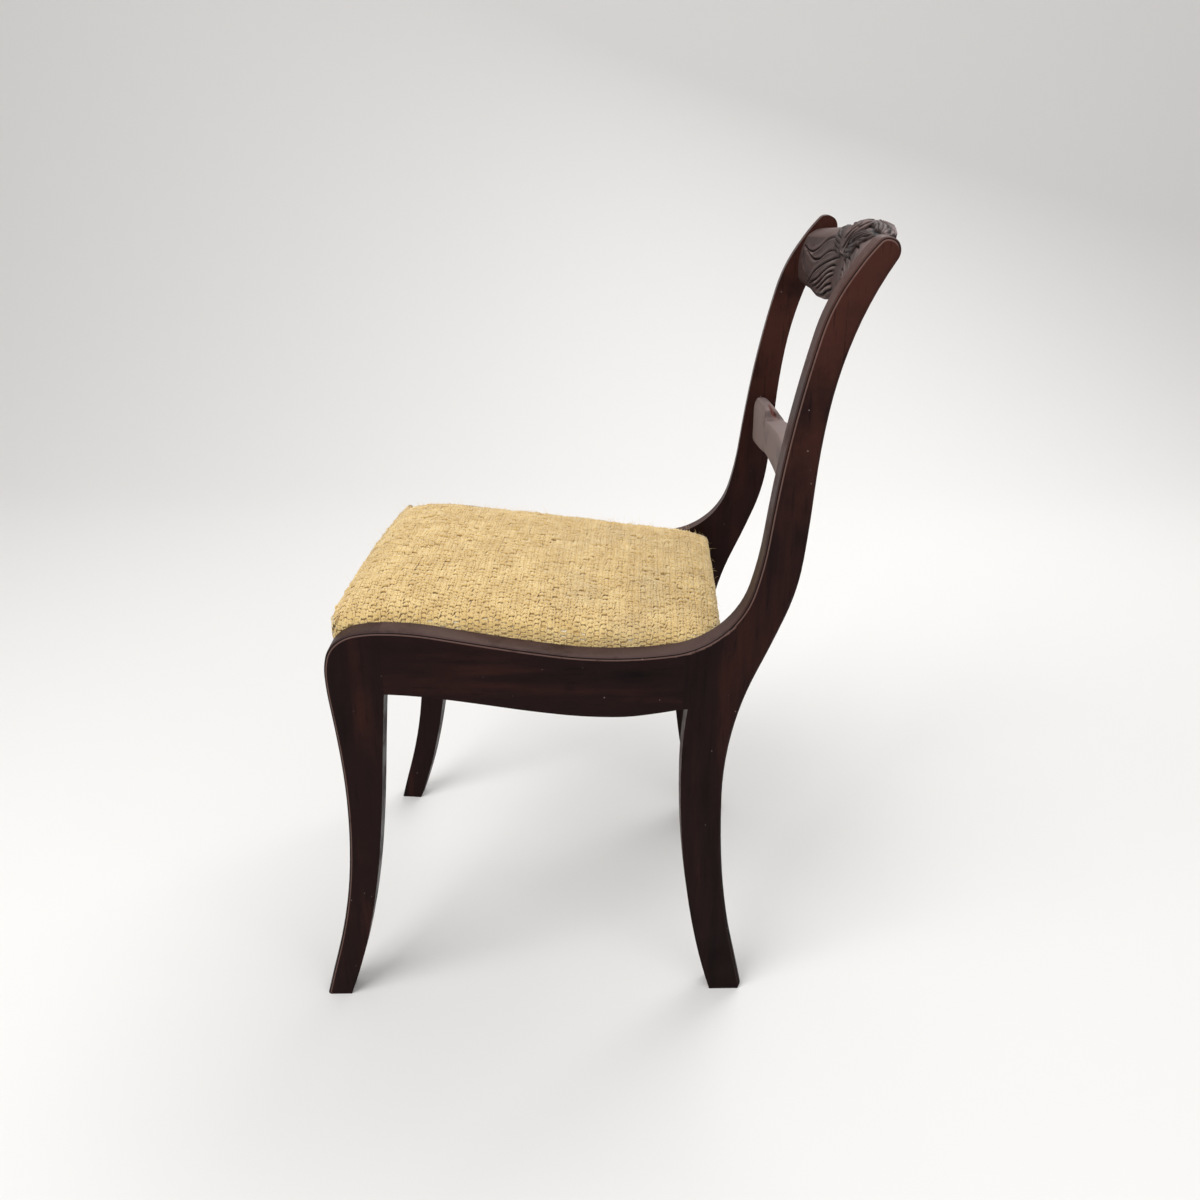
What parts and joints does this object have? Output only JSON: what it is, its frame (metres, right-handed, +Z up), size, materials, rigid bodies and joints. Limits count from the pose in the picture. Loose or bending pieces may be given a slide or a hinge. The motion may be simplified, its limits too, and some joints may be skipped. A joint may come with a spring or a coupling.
{
  "type": "side chair",
  "caption": "Side chair with sabre legs and side frames in one sweep, a bowed crest carved with a rose and leaves, a scrolled lower back rail and a drop-in seat in crochet.",
  "frame": {"origin": "on the floor, in the middle of the chair's footprint box", "axes": "+Z up, the chair faces -Y, +X towards the sitter's left; the chair is mirrored about the YZ plane"},
  "size_m": [0.4516, 0.6198, 0.842],
  "materials": {
    "mahogany": "aged dark red-brown polish, dusty",
    "block_wood": "raw, unpolished",
    "dowel_wood": "raw beech",
    "seat_wood": "raw beech",
    "screw_steel": "dull bright steel",
    "tack_steel": "blued",
    "webbing_jute": "woven jute",
    "burlap_cloth": "open plain weave",
    "padding_fill": "felted fibre",
    "lining_cloth": "plain cotton",
    "crochet_yarn": "chunky straw-yellow crochet, matte",
    "dust_cloth": "black cambric"
  },
  "bodies": {
    "chair_frame": {"left_front_leg": "mahogany", "right_front_leg": "mahogany", "left_side_rail": "mahogany", "right_side_rail": "mahogany", "left_back_post": "mahogany", "right_back_post": "mahogany", "front_rail": "mahogany", "rear_rail": "mahogany", "crest_rail": "mahogany", "lower_back_rail": "mahogany", "left_front_block": "block_wood", "right_front_block": "block_wood", "left_rear_block": "block_wood", "right_rear_block": "block_wood", "left_seat_bearer": "block_wood", "right_seat_bearer": "block_wood", "side_rail_dowels": "dowel_wood", "front_rail_dowels": "dowel_wood", "rear_rail_dowels": "dowel_wood", "crest_dowels": "dowel_wood", "lower_rail_dowels": "dowel_wood", "corner_block_screws": "screw_steel", "bearer_screws": "screw_steel"},
    "slip_seat": {"seat_front_bar": "seat_wood", "seat_back_bar": "seat_wood", "seat_left_bar": "seat_wood", "seat_right_bar": "seat_wood", "seat_frame_dowels": "dowel_wood", "webbing_crosswise": "webbing_jute", "webbing_lengthwise": "webbing_jute", "burlap": "burlap_cloth", "padding": "padding_fill", "lining": "lining_cloth", "seat_cover": "crochet_yarn", "dust_cover": "dust_cloth", "cover_tacks": "tack_steel"}
  },
  "joints": [
    {"name": "seat_lift", "type": "slide", "parent": "chair_frame", "child": "slip_seat", "axis": [0, 0, 1], "range_m": [0, 0.08]}
  ]
}
